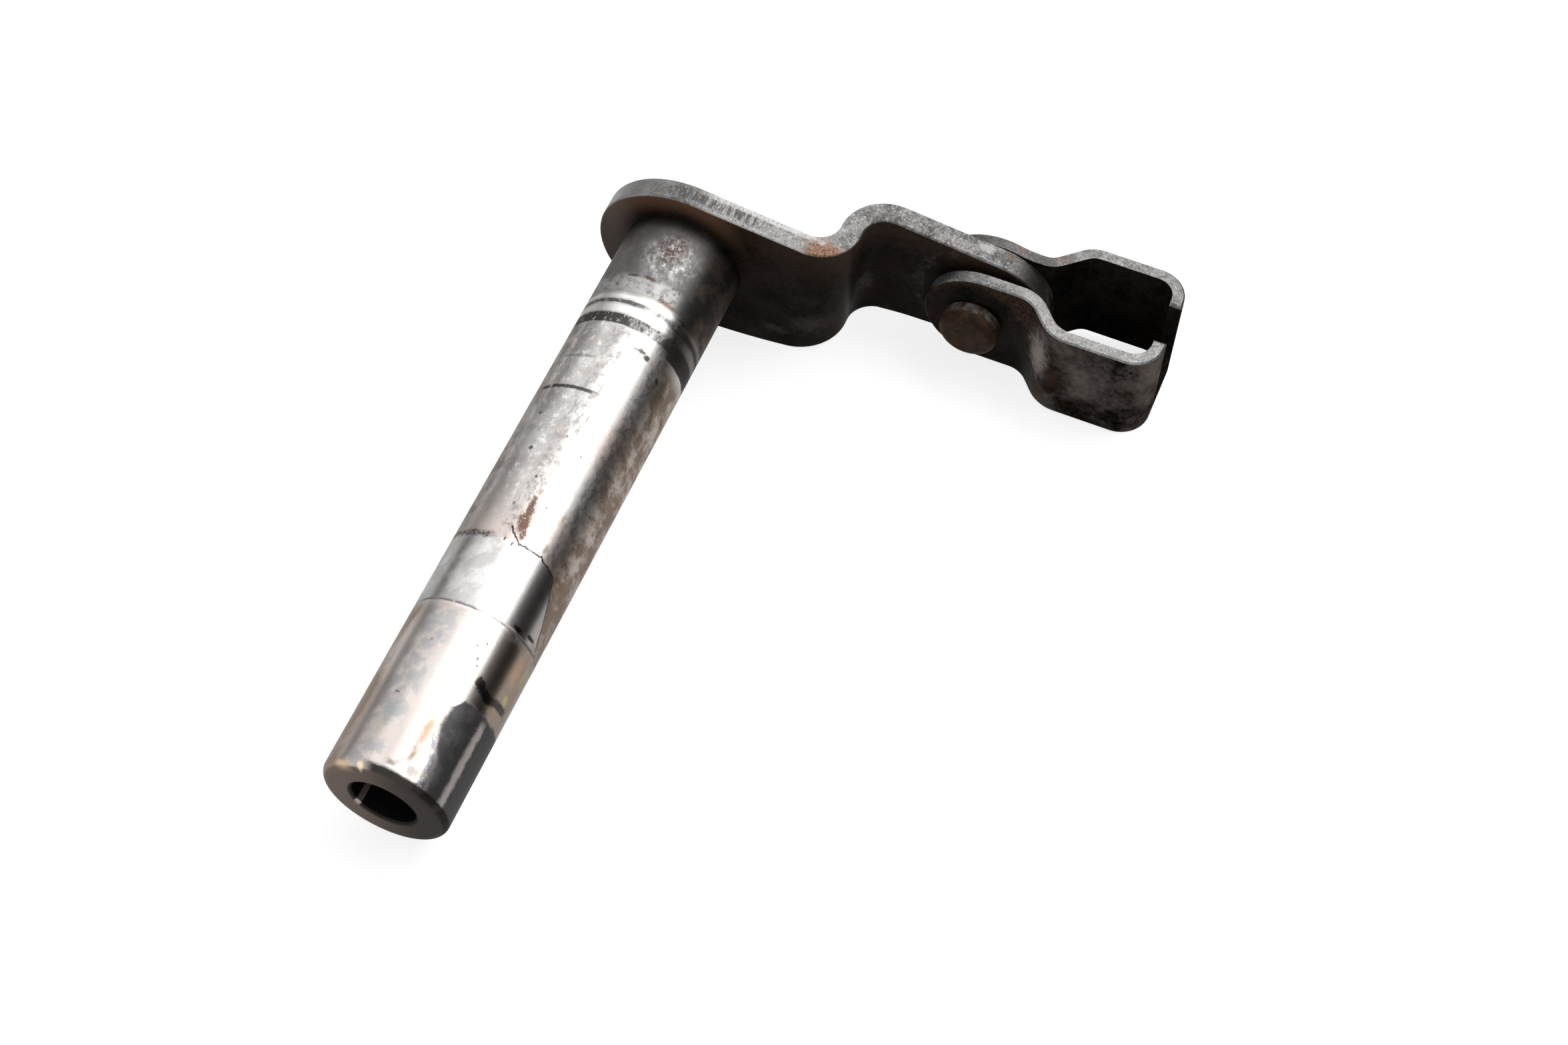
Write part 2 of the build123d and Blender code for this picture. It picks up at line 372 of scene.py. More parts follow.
# stains: distance from the arm, turn, half length, half turn, raggedness, soft edge, strength, colour
SHAFT_STAINS = (
    (9.35, 60.0, 0.35, 15.0, 1.6, 0.9, 0.60, RUST_BROWN),
    (15.45, 55.0, 0.50, 6.0, 1.6, 0.5, 0.95, SHAFT_DARK),
    (15.15, 61.0, 0.34, 5.0, 2.0, 0.5, 0.90, SHAFT_DARK),
    (15.20, 67.0, 0.10, 6.0, 1.2, 0.6, 0.80, SHAFT_DARK),
    (16.60, 36.0, 0.45, 4.0, 1.4, 0.6, 0.85, STAIN_BROWN),
    (17.00, 26.0, 1.80, 9.0, 1.0, 0.8, 0.85, STAIN_SOIL),
    (20.5, 22.0, 2.4, 6.0, 1.4, 0.8, 0.45, STAIN_BROWN),
    (24.3, 75.0, 0.75, 0.6, 0.8, 0.7, 0.85, SHAFT_DARK),
    (24.8, 120.0, 0.22, 2.2, 0.8, 0.6, 0.70, SHAFT_DARK),
    (26.8, 83.0, 0.25, 1.6, 1.0, 0.7, 0.60, SHAFT_DARK),
    (28.1, 64.0, 0.16, 1.6, 1.0, 0.6, 0.85, SHAFT_DARK),
    (28.6, 143.0, 0.22, 2.2, 0.8, 0.5, 0.90, SHAFT_DARK),
    (28.9, 109.0, 0.28, 2.6, 1.0, 0.6, 0.85, SHAFT_DARK),
    (31.8, 90.0, 0.22, 1.8, 1.0, 0.6, 0.85, SHAFT_DARK),
    (34.3, 69.0, 0.18, 1.5, 1.0, 0.6, 0.75, SHAFT_DARK),
    (35.1, 96.0, 0.28, 1.6, 1.0, 0.6, 0.60, SHAFT_DARK),
    (34.3, 51.5, 0.9, 3.0, 1.8, 0.9, 0.70, PEACH),
    (37.9, 52.4, 0.9, 3.0, 1.8, 0.9, 0.70, PEACH),
    (33.1, 79.5, 0.8, 4.0, 2.2, 0.9, 0.60, PEACH),
    (38.85, 87.5, 0.26, 1.2, 1.0, 0.5, 0.85, SHAFT_DARK),
    (39.05, 79.8, 0.36, 1.3, 1.0, 0.5, 0.85, SHAFT_DARK),
    (49.3, 63.8, 0.16, 1.6, 1.4, 0.6, 0.85, SHAFT_DARK),
    (48.7, 57.2, 0.16, 1.4, 1.4, 0.6, 0.80, SHAFT_DARK),
    (50.35, 58.4, 0.22, 1.8, 1.4, 0.6, 0.85, SHAFT_DARK),
    (50.95, 56.0, 0.18, 1.5, 1.4, 0.6, 0.80, SHAFT_DARK),
    (50.4, 101.0, 0.25, 3.0, 1.6, 0.8, 0.45, SHAFT_DARK),
    (56.1, 105.0, 0.16, 4.0, 1.0, 0.6, 0.70, SHAFT_DARK),
    (48.8, 18.0, 2.4, 9.0, 1.2, 0.9, 0.65, STAIN_TAN),
    (48.2, 2.0, 1.6, 7.0, 1.2, 0.9, 0.60, STAIN_GREEN),
    (52.1, 46.0, 0.60, 6.5, 2.2, 0.5, 0.92, SHAFT_DARK),
    (52.8, 35.0, 0.55, 7.0, 2.2, 0.5, 0.92, SHAFT_DARK),
    (53.5, 28.0, 0.42, 5.0, 1.4, 0.7, 0.85, STAIN_GREEN),
    (51.5, 13.0, 0.60, 5.0, 1.4, 0.8, 0.75, STAIN_GREEN),
    (58.6, 66.5, 3.4, 8.0, 1.0, 0.9, 0.90, PEACH),
    (61.1, 67.3, 1.3, 5.0, 1.0, 0.9, 0.85, PEACH_BROWN),
    (57.0, 100.0, 3.2, 9.0, 1.6, 0.9, 0.45, STAIN_BLUISH),
    (50.5, 97.0, 2.6, 6.0, 1.8, 0.9, 0.45, STAIN_SLATE),
    (59.8, 106.0, 2.4, 10.0, 1.0, 0.9, 0.55, STAIN_OLIVE),
    (62.5, 78.0, 0.50, 10.0, 1.6, 0.8, 0.75, SHAFT_SHADE),
    (62.2, 62.0, 1.00, 10.0, 1.6, 0.8, 0.70, SHAFT_SHADE),
    (62.0, 72.0, 0.90, 9.0, 1.6, 0.9, 0.60, STAIN_LEAD),
)


class ShaftFields:
    """Where a point of the shaft is, and the noises that its layers share."""

    def __init__(self, graph):
        where = graph.group(place_group).outputs
        self.place = where["Place"]
        self.across = where["Across"]
        self.along = graph.product(where["Back"], -1.0)
        self.turn = graph.math("DEGREES", graph.math("ARCTAN2", where["Up"], self.across))
        self.radius = graph.distance(where["Up"], self.across)
        self.grain = graph.noise(self.place, 0.8, 5.0, 0.65)
        self.fine = graph.noise(graph.shift(self.place, (3.0, 8.0, 5.0)), 0.26, 3.0, 0.7)
        self.flecks = graph.noise(graph.stretch(self.place, (1.0, 0.6, 1.0)), 0.55, 5.0, 0.75)
        self.patches = graph.noise(graph.stretch(self.place, (1.0, 0.45, 1.0)), 3.5, 4.0, 0.6)
        self.clouds = graph.noise(graph.shift(self.place, (17.0, 5.0, 2.0)), 2.0, 5.0, 0.62)
        self.broad = graph.noise(graph.shift(self.place, (40.0, 0.0, 7.0)), 9.0, 3.0, 0.5)

    def stain(self, graph, at, turned, half, half_turn, ragged, edge):
        """A ragged oval on the round surface."""
        centre, halves = (at, turned), (half, half_turn)
        return graph.blot(self.along, self.turn, self.grain, centre, halves, ragged, edge)


def ground_tone(graph, fields):
    """Plain ground metal: greyer and pinker stretches, frosted upper part, grey mottles painted along the
    highlight's left border, left flank painted darker as shade with blotches, stained right flank.
    """
    tone = graph.paint(SHAFT_STEEL, SHAFT_GREY, graph.rise(fields.patches, 0.42, 0.68), 0.6)
    pinkish = graph.product(graph.rise(fields.broad, 0.42, 0.60), graph.rise(fields.along, 12.0, 20.0))
    tone = graph.paint(tone, SHAFT_PINK, pinkish, 0.6)
    frosted = graph.product(
        graph.rise(fields.turn, 72.0, 92.0),
        graph.rise(fields.along, 12.5, 14.0),
        graph.fall(fields.along, 30.0, 40.0),
    )
    tone = graph.paint(tone, SHAFT_GREY, frosted, graph.rise(fields.clouds, 0.35, 0.6), 0.75)
    tone = graph.paint(tone, SHAFT_PINK, frosted, graph.rise(fields.clouds, 0.56, 0.66), 0.55)
    tone = graph.paint(tone, SHAFT_PALE, frosted, graph.rise(fields.flecks, 0.50, 0.66), 0.75)
    tone = graph.paint(tone, SHAFT_PALE, frosted, graph.rise(fields.fine, 0.60, 0.68), 0.7)
    # painted reflection: grey mottles along the highlight's left border, so that its edge looks ragged
    mottled = graph.product(
        graph.band(fields.turn, 86.0, 6.0, 9.0),
        graph.rise(fields.along, 12.5, 14.0),
        graph.fall(fields.along, 37.0, 39.0),
        graph.rise(fields.flecks, 0.47, 0.60),
    )
    tone = graph.paint(tone, HIGHLIGHT_BORDER_GREY, mottled, 0.7)
    specks = graph.product(graph.rise(fields.fine, 0.60, 0.68), graph.rise(fields.along, 13.0, 15.0))
    tone = graph.paint(tone, SHAFT_DARK, specks, graph.rise(fields.clouds, 0.45, 0.6), 0.45)

    # painted shade: the left flank darker, with blotches and dark specks over it
    left = graph.fall(fields.across, -4.5, -3.6)
    tone = graph.paint(tone, FLANK_LEFT_SHADE, left, graph.amount(fields.grain, 0.5, 1.0))
    tone = graph.paint(tone, FLANK_BLOTCH, left, graph.rise(fields.clouds, 0.46, 0.60), 0.6)
    tone = graph.paint(tone, SHAFT_DARK, left, graph.rise(fields.fine, 0.56, 0.66), 0.5)

    right = graph.product(graph.rise(fields.across, 4.5, 5.3), graph.rise(fields.along, 14.0, 16.0))
    flank = graph.blend(graph.rise(fields.clouds, 0.38, 0.58), FLANK_LIGHT, FLANK_BROWN)
    flank = graph.paint(flank, STAIN_BROWN, graph.rise(fields.fine, 0.55, 0.66), 0.6)
    flank = graph.paint(flank, FLANK_BROWN, graph.rise(fields.along, 36.0, 46.0), 0.55)
    return graph.paint(tone, flank, right, 0.9)


def near_arm_tone(graph, fields, tone, near_arm):
    """Dull grey zone beside the arm: scuffs and rust specks above, a painted dark reflection on its right,
    painted shade on its left flank, a painted contact shadow against the arm.
    """
    tone = graph.paint(tone, SHAFT_SHADE, near_arm, 0.95)
    tone = graph.paint(tone, NEAR_ARM_HAZE, near_arm, graph.rise(fields.clouds, 0.40, 0.70), 0.55)
    rubbed = graph.product(
        graph.band(fields.along, 8.6, 0.6, 1.0),
        graph.rise(fields.turn, 48.0, 62.0),
        graph.rise(fields.grain, 0.30, 0.60),
        near_arm,
    )
    tone = graph.paint(tone, NEAR_ARM_RUBBED, rubbed, 0.75)
    scuffed = fields.stain(graph, 4.6, 80.0, 4.0, 36.0, 1.2, 0.7)
    cloudy = graph.plus(graph.product(fields.flecks, 0.6), graph.product(fields.grain, 0.4))
    tone = graph.paint(tone, NEAR_ARM_SCUFF, scuffed, graph.rise(cloudy, 0.44, 0.66), 0.9)
    speckled = graph.plus(graph.product(fields.fine, 0.6), graph.product(fields.clouds, 0.4))
    specks = graph.rise(speckled, 0.47, 0.57)
    for at, turned, half, half_turn in NEAR_ARM_RUST:
        rusty = fields.stain(graph, at, turned, half, half_turn, 1.4, 0.7)
        tone = graph.paint(tone, RUST_DULL, rusty, specks, 0.85)
    for at, turned, half, half_turn in NEAR_ARM_STREAKS:
        streak = fields.stain(graph, at, turned, half, half_turn, 1.6, 0.7)
        tone = graph.paint(tone, RUST_DULL, streak, 0.8)
    # painted dark reflection on the right flank beside the arm, mottled with brown
    right = graph.product(graph.fall(fields.along, 13.2, 14.2), graph.rise(fields.across, 3.3, 4.6))
    shade = graph.blend(graph.rise(fields.clouds, 0.42, 0.62), SHAFT_DARK, NEAR_ARM_SHADE_BROWN)
    tone = graph.paint(tone, shade, right, 0.9)
    # painted shade: the left flank beside the arm a little darker
    tone = graph.paint(tone, SHAFT_DARK, near_arm, graph.fall(fields.across, -5.2, -3.4), 0.28)
    # painted contact shadow where the shaft meets the arm
    contact = graph.fall(fields.along, 0.1, 1.5)
    return graph.paint(tone, SHAFT_BLACK, contact, 0.75)


def ring_tone(graph, fields, tone):
    """Rings that the seal and the bearings wore into the metal; the dark ones are painted paler in specks
    where the highlight falls.
    """
    bright = 0.0
    for at, half, edge, strength in BRIGHT_RINGS:
        ring = graph.product(graph.band(fields.along, at, half, edge), strength)
        bright = graph.greatest(ring, bright)
    bright = graph.product(
        bright,
        graph.amount(graph.rise(fields.across, 3.2, 4.6), 1.0, 0.12),
        graph.amount(graph.rise(fields.turn, 82.0, 108.0), 1.0, 0.45),
    )
    tone = graph.paint(tone, SHAFT_PALE, bright)
    wavy = graph.waver(fields.along, fields.grain, 0.35)
    dark = 0.0
    for at, half, edge, strength, first, last in DARK_RINGS:
        window = graph.band(fields.turn, (first + last) / 2, (last - first) / 2 - 6.0, 8.0)
        ring = graph.product(graph.band(wavy, at, half, edge), window, strength)
        dark = graph.greatest(ring, dark)
    # painted highlight: the dark rings paler in specks within the highlight's turns
    highlight_specks = graph.product(graph.band(fields.turn, 66.0, 12.0, 10.0), graph.rise(fields.flecks, 0.34, 0.62))
    dark = graph.product(dark, graph.amount(highlight_specks, 1.0, 0.35))
    tone = graph.paint(tone, SHAFT_DARK, dark)
    flecks = graph.product(graph.rise(fields.flecks, 0.54, 0.68), graph.fall(fields.across, 3.8, 5.0))
    return graph.paint(tone, SHAFT_PALE, dark, flecks, 0.7), dark


def band_tone(graph, fields, tone):
    """Polished band, its right flank painted darker as shade, that ends above in a smear and a crooked
    hairline crack.
    """
    soft = graph.greatest(graph.minus(SOFT_TURN, fields.turn), 0.0)
    sharp = graph.greatest(graph.minus(SHARP_TURN, fields.turn), 0.0)
    crook = graph.plus(graph.product(soft, SOFT_SLOPE), graph.product(sharp, SHARP_SLOPE))
    wavy = graph.waver(fields.along, fields.grain, 0.9)
    past = graph.minus(wavy, graph.plus(BAND_START, crook))
    band = graph.product(
        graph.rise(past, -0.15, 0.2), graph.fall(fields.along, BAND_END - 0.1, BAND_END + 0.1))
    tone = graph.paint(tone, BAND_GREY, band, 0.75)
    tone = graph.paint(tone, SHAFT_PALE, band, graph.rise(fields.clouds, 0.45, 0.62), 0.4)
    # painted shade: the band's right flank darker
    tone = graph.paint(tone, BAND_FLANK_SHADE, band, graph.rise(fields.across, 4.3, 5.0), 0.65)
    tone = graph.paint(tone, SHAFT_GREY, band, graph.rise(fields.patches, 0.52, 0.66), 0.5)

    hairline = graph.product(
        graph.band(past, 0.0, 0.04, 0.09),
        graph.band(fields.turn, 40.0, 33.0, 3.0),
        graph.fall(fields.along, BAND_END - 0.4, BAND_END),
    )
    branch_rise = graph.product(graph.minus(BRANCH_TURN, fields.turn), BRANCH_SLOPE)
    branch = graph.product(
        graph.band(graph.minus(wavy, graph.plus(BRANCH_START, branch_rise)), 0.0, 0.07, 0.10),
        graph.band(fields.turn, 80.5, 6.5, 1.5),
    )
    smear = graph.product(
        graph.band(past, 0.0, 0.12, 0.40),
        graph.rise(fields.turn, 92.0, 104.0),
        graph.amount(graph.rise(fields.fine, 0.42, 0.56), 0.45, 1.0),
    )
    tone = graph.paint(tone, SHAFT_DARK, smear, 0.85)
    tone = graph.paint(tone, SHAFT_BLACK, graph.greatest(hairline, branch), 0.96)
    bars = 0.0
    for at, turned in NOTCH_BARS:
        bars = graph.greatest(bars, fields.stain(graph, at, turned, 0.30, 7.0, 1.0, 0.5))
    return graph.paint(tone, SHAFT_BLACK, bars, 0.9), band


def end_tone(graph, fields, tone):
    """Warm polished end with a dark patch on its right, a pale border and a pale streak in it."""
    end_zone = graph.rise(fields.along, BAND_END + 0.1, BAND_END + 1.0)
    tone = graph.paint(tone, END_WARM, end_zone, 0.55)
    cool = graph.product(graph.band(fields.turn, 104.0, 10.0, 12.0), graph.rise(fields.clouds, 0.42, 0.58))
    tone = graph.paint(tone, END_COOL, end_zone, cool, 0.7)
    browned = graph.product(graph.rise(fields.turn, 122.0, 136.0), graph.rise(fields.patches, 0.36, 0.56))
    tone = graph.paint(tone, END_BROWN, end_zone, browned, 0.85)
    tone = graph.paint(tone, END_FLANK, end_zone, graph.rise(fields.across, 4.2, 5.0), 0.7)

    # the patch narrows towards the face, and its borders are ragged
    narrowed = graph.plus(fields.turn, graph.product(graph.rise(fields.along, 57.5, 62.5), 11.0))
    border = graph.waver(graph.waver(narrowed, fields.patches, 20.0), fields.grain, 6.0)
    top = graph.waver(fields.along, fields.grain, 1.0)
    top = graph.minus(top, graph.product(graph.rise(fields.turn, 49.0, 58.0), 1.2))
    patch = graph.product(
        graph.fall(border, PATCH_TURN - 4.0, PATCH_TURN + 4.0),
        graph.rise(top, PATCH_START, PATCH_START + 0.5),
        graph.rise(fields.turn, -60.0, -30.0),
    )
    tone = graph.paint(tone, PATCH_SHADE, patch, 0.95)
    haze = graph.product(graph.rise(fields.clouds, 0.44, 0.62), graph.rise(fields.turn, 30.0, 42.0))
    tone = graph.paint(tone, PATCH_HAZE, patch, haze, 0.5)
    rim = graph.product(graph.band(border, PATCH_TURN + 4.5, 1.5, 4.0), graph.rise(fields.along, 57.0, 59.0))
    tone = graph.paint(tone, PATCH_BORDER, rim, graph.rise(fields.grain, 0.35, 0.6))
    streak = graph.product(
        graph.band(graph.waver(fields.turn, fields.grain, 6.0), STREAK_TURN, 1.6, 4.5),
        graph.rise(fields.along, 54.2, 55.4),
    )
    tone = graph.paint(tone, PATCH_STREAK, streak, 0.85)
    dip = graph.product(graph.band(fields.turn, 31.0, 3.0, 12.0), 0.3)
    line = graph.product(
        graph.band(graph.minus(top, graph.plus(PATCH_LINE, dip)), 0.0, 0.22, 0.40),
        graph.band(fields.turn, 26.0, 18.0, 8.0),
        graph.rise(fields.flecks, 0.30, 0.46),
    )
    tone = graph.paint(tone, SHAFT_DARK, line, 0.92)
    return tone, patch


def rust_tone(graph, fields, tone):
    """Long rust stain on top of the shaft, with bare metal in its gaps."""
    rust = 0.0
    for at, turned, half, half_turn in LONG_RUST:
        rust = graph.greatest(rust, fields.stain(graph, at, turned, half, half_turn, 1.6, 0.5))
    brown = graph.blend(graph.rise(fields.fine, 0.40, 0.62), RUST_BROWN, RUST_DULL)
    covered = graph.invert(graph.product(graph.rise(fields.fine, 0.52, 0.62), 0.65))
    return graph.paint(tone, brown, rust, covered, 0.95), rust


def free_end_tone(graph, fields, tone):
    """Painted dark reflection on the rim's round, a warm face with painted shade darkening it to the right,
    a painted glint, and the bore painted black inside as shade with a painted gleam.
    """
    # painted dark reflection along the round of the rim, on its upper right
    wavy = graph.waver(fields.along, fields.grain, 0.3)
    rim = graph.product(graph.rise(wavy, RIM_START, RIM_START + 0.25), graph.fall(fields.turn, 90.0, 104.0))
    tone = graph.paint(tone, SHAFT_BLACK, rim, 0.95)
    # painted shade: the face darkens to the right
    face = graph.rise(fields.along, FACE_START - 0.1, FACE_START + 0.1)
    painted_face_shade = graph.rise(graph.plus(fields.across, graph.product(fields.clouds, 1.6)), -3.5, 5.0)
    tone = graph.paint(tone, graph.blend(painted_face_shade, FACE_WARM, FACE_SHADE), face)
    outer = graph.rise(fields.radius, 4.7, 5.2)
    brown = fields.stain(graph, FACE_START - 0.12, 122.0, 0.5, 14.0, 1.0, 0.9)
    tone = graph.paint(tone, STAIN_ORANGE, brown, outer, 0.7)
    # painted glint: an orange-white spot on the round next to the face
    glint = fields.stain(graph, FACE_START - 0.17, 103.0, 0.42, 4.6, 0.3, 0.8)
    tone = graph.paint(tone, FACE_GLINT, glint, outer)
    # painted shade: the bore black inside
    in_bore = graph.product(
        graph.fall(fields.radius, BORE_RADIUS + 0.1, BORE_RADIUS + 0.35),
        graph.rise(fields.along, 50.0, 51.0),
    )
    tone = graph.paint(tone, SHAFT_BLACK, in_bore)
    # painted reflection: a paler strip on the bore's wall
    gleam = graph.band(fields.turn, -149.0, 4.0, 4.0)
    tone = graph.paint(tone, BORE_GLEAM, in_bore, gleam, 0.9)
    return tone, graph.greatest(face, in_bore)


def shaft_roughness(graph, fields, band, matt):
    """Smooth on top, smoother where it is polished, dull on the flanks and on the matt places."""
    rough = graph.amount(graph.rise(fields.flecks, 0.35, 0.65), 0.26, 0.35)
    flanks = graph.greatest(graph.rise(fields.across, 4.6, 5.4), graph.fall(fields.across, -4.8, -3.8))
    rough = graph.amount(graph.product(flanks, 0.6), rough, 0.5)
    left = graph.rise(fields.turn, 100.0, 112.0)
    rough = graph.amount(left, rough, 0.40)
    polished = graph.greatest(band, graph.rise(fields.along, BAND_END + 0.3, BAND_END + 1.3))
    rough = graph.amount(polished, rough, graph.amount(left, 0.25, 0.33))
    return graph.amount(matt, rough, 0.5)


def shaft_material():
    material, graph, shader = new_material("worn ground steel")
    fields = ShaftFields(graph)
    near_arm = graph.fall(fields.along, NEAR_ARM_END - 0.4, NEAR_ARM_END + 0.4)
    tone = ground_tone(graph, fields)
    tone = near_arm_tone(graph, fields, tone, near_arm)
    tone, rings = ring_tone(graph, fields, tone)
    tone, band = band_tone(graph, fields, tone)
    tone, patch = end_tone(graph, fields, tone)
    for at, turned, half, half_turn, ragged, edge, strength, stain in SHAFT_STAINS:
        blot = fields.stain(graph, at, turned, half, half_turn, ragged, edge)
        tone = graph.paint(tone, stain, blot, strength)
    tone, rust = rust_tone(graph, fields, tone)
    tone, end_face = free_end_tone(graph, fields, tone)

    graph.join(shader["Base Color"], tone)
    shader["Metallic"].default_value = 1.0
    shader["Specular Tint"].default_value = colour(0.6, 0.6, 0.6)
    matt = graph.greatest(near_arm, rings, rust, patch, end_face)
    graph.join(shader["Roughness"], shaft_roughness(graph, fields, band, matt))
    height = graph.plus(graph.product(fields.flecks, 0.35), graph.product(fields.grain, 0.4))
    height = graph.minus(height, graph.product(graph.greatest(rings, rust), 0.5))
    graph.join(shader["Normal"], graph.bump(height, SHAFT_GRAIN_MM, 0.6))
    return material


# oxide skin of the sheet steel
OXIDE = colour(0.0040, 0.0036, 0.0031)
OXIDE_BROWN = colour(0.021, 0.0122, 0.0075)
OXIDE_DUST = colour(0.0165, 0.0138, 0.0120)
OXIDE_GREY = colour(0.150, 0.128, 0.115)
ARM_RIM_BROWN = colour(0.165, 0.092, 0.058)
ARM_HUB_GREY = colour(0.20, 0.160, 0.144)
ARM_SMUDGE = colour(0.085, 0.072, 0.065)
EAR_BROWN = colour(0.075, 0.045, 0.028)
EAR_CHIP = colour(0.20, 0.165, 0.135)
# pale tone of the painted highlights on the clevis's offset and fold, and of a faint patch
CLEVIS_SHEEN_AND_SMUDGE = colour(0.40, 0.345, 0.32)
CLEVIS_BROWN = colour(0.050, 0.030, 0.019)

# bare sheared edges of the sheet steel
EDGE_GREY = colour(0.195, 0.192, 0.189)
EDGE_SHADE = colour(0.060, 0.058, 0.056)
# the next tone is laid as painted highlight on the arm's edge, and on paler places of the clevis's edge
EDGE_PALE = colour(0.42, 0.415, 0.41)
EDGE_PIT = colour(0.035, 0.034, 0.033)
EDGE_SPARK = colour(0.46, 0.455, 0.45)
EDGE_DARK = colour(0.050, 0.048, 0.046)
EDGE_DULL = colour(0.31, 0.305, 0.30)
EDGE_WORN = colour(0.30, 0.295, 0.29)
FAR_EAR_EDGE = colour(0.050, 0.045, 0.042)

# rivet: tarnish, and a painted highlight on the head's upper side wall
RIVET_BROWN = colour(0.050, 0.027, 0.016)
RIVET_DARK = colour(0.024, 0.015, 0.010)
RIVET_HIGHLIGHT = colour(0.17, 0.155, 0.148)

# how much the oxide and the rivet shine, how metallic a bare edge is, and how deep the grain is
OXIDE_SHINE = 0.012
RIVET_SHINE = 0.05
EDGE_METALLIC = 0.85
STRIP_GRAIN_MM = 0.03

# a strip's surface turns from face to edge between these shares of facing up
EDGE_TILT = (0.35, 0.6)

# the rivet's axis, across and up, in millimetres
clevis_pivot = next(joint for joint in frame["joints"] if joint["name"] == "clevis_pivot")
PIVOT = (clevis_pivot["pos_m"][0] / MILLIMETRE, clevis_pivot["pos_m"][2] / MILLIMETRE)

# marks on faces: centre across and up, half sizes, and for the clevis their strength; the clevis's first two
# are painted highlights on the offset and at the fold
ARM_SMUDGES = (
    ((13.0, -4.6), (2.4, 1.8)),
    ((16.4, -3.6), (1.0, 1.8)),
    ((9.5, -6.4), (2.0, 0.9)),
)
CLEVIS_SHEENS_AND_SMUDGE = (
    ((35.5, -1.8), (1.7, 4.2), 1.0),
    ((46.3, -1.5), (1.2, 4.5), 0.15),
    ((40.5, -3.0), (3.4, 3.6), 0.20),
)

# rust on the clevis's upper edge: centre across and back, half sizes
CLEVIS_EDGE_RUST = (
    ((31.0, 10.4), (0.5, 0.5)),
    ((34.6, 10.9), (1.8, 0.6)),
)


def build_oxide_group():
    """Dark oxide skin of sheet steel, with browner and rubbed places."""
    inputs = [("Place", "vector"), ("Rubbed", "value"), ("Brown", "value")]
    graph, start, end = new_group("oxide skin", inputs, [("Color", "colour")])
    patches = graph.noise(start["Place"], 4.5, 5.0, 0.6)
    clouds = graph.noise(graph.shift(start["Place"], (31.0, 12.0, 4.0)), 4.0, 5.0, 0.6)
    grain = graph.noise(start["Place"], 0.6, 4.0, 0.7)
    skin = graph.paint(OXIDE, OXIDE_BROWN, graph.rise(patches, 0.38, 0.66), start["Brown"])
    skin = graph.paint(skin, OXIDE_DUST, graph.rise(grain, 0.42, 0.62), 0.5)
    mottled = graph.plus(graph.product(grain, 0.25), graph.product(clouds, 0.75))
    skin = graph.paint(skin, OXIDE_GREY, graph.rise(mottled, 0.40, 0.68), start["Rubbed"])
    graph.join(end["Color"], skin)
    return graph.tree


def build_bare_edge_group():
    """Bare sheared edge of sheet steel: mottled grey with light and dark specks and dark strokes, pale where
    Light says, which on the arm is a painted highlight.
    """
    inputs = [("Place", "vector"), ("Light", "value"), ("Torn", "value")]
    graph, start, end = new_group("bare edge", inputs, [("Color", "colour"), ("Height", "value")])
    light_specks = graph.noise(start["Place"], 0.24, 4.0, 0.8)
    dark_specks = graph.noise(graph.shift(start["Place"], (5.0, 9.0, 2.0)), 0.28, 4.0, 0.8)
    patches = graph.noise(start["Place"], 1.3, 5.0, 0.65)
    strokes = graph.noise(graph.stretch(start["Place"], (1.0, 0.14, 0.3)), 0.24, 3.0, 0.6)
    tone = graph.blend(graph.rise(patches, 0.32, 0.66), EDGE_GREY, EDGE_SHADE)
    tone = graph.paint(tone, EDGE_PALE, start["Light"])
    tone = graph.paint(tone, EDGE_PIT, graph.rise(dark_specks, 0.48, 0.68), 0.75)
    tone = graph.paint(tone, EDGE_SPARK, graph.rise(light_specks, 0.50, 0.70), 0.7)
    torn = graph.product(start["Torn"], graph.rise(strokes, 0.43, 0.57))
    tone = graph.paint(tone, EDGE_DARK, torn, 0.8)
    graph.join(end["Color"], tone)
    graph.join(end["Height"], graph.minus(dark_specks, graph.product(torn, 0.7)))
    return graph.tree


oxide_group = build_oxide_group()
bare_edge_group = build_bare_edge_group()


def surface_tilt(graph):
    """How far the surface faces back or forth and up or down, each from 0 to 1."""
    facing = graph.node("ShaderNodeTexCoord").outputs["Normal"]
    split = graph.node("ShaderNodeSeparateXYZ", {0: facing}).outputs
    return graph.math("ABSOLUTE", split[1]), graph.math("ABSOLUTE", split[2])


class StripFields:
    """Where a point of a sheet steel strip is, how the surface faces there, and the strip's grain."""

    def __init__(self, graph):
        where = graph.group(place_group).outputs
        self.place = where["Place"]
        self.across = where["Across"]
        self.back = where["Back"]
        self.up = where["Up"]
        self.grain = graph.noise(self.place, 0.7, 4.0, 0.65)
        self.backward, self.upward = surface_tilt(graph)

    def face_blot(self, graph, at, half, ragged, edge):
        """A ragged oval on a face that is seen along the shaft."""
        return graph.blot(self.across, self.up, self.grain, at, half, ragged, edge)

    def edge_blot(self, graph, at, half, ragged, edge):
        """A ragged oval on the upper edge, seen from above."""
        return graph.blot(self.across, self.back, self.grain, at, half, ragged, edge)

    def pivot_distance(self, graph):
        return graph.distance(self.across, self.up, PIVOT)


def strip_roughness(graph, strip, edge):
    """Uneven sheen of the oxide, and a more uneven one on the bare edge."""
    return graph.amount(edge, graph.amount(strip.grain, 0.34, 0.50), graph.amount(strip.grain, 0.34, 0.56))


def finish_strip(graph, shader, strip, edge, tone, edge_height, rough):
    """Joins the layers of a strip to its shader."""
    graph.join(shader["Base Color"], tone)
    graph.join(shader["Metallic"], graph.product(edge, EDGE_METALLIC))
    graph.join(shader["Roughness"], rough)
    shader["Specular IOR Level"].default_value = OXIDE_SHINE
    height = graph.amount(edge, graph.product(strip.grain, 0.6), edge_height)
    graph.join(shader["Normal"], graph.bump(height, STRIP_GRAIN_MM, 0.6))


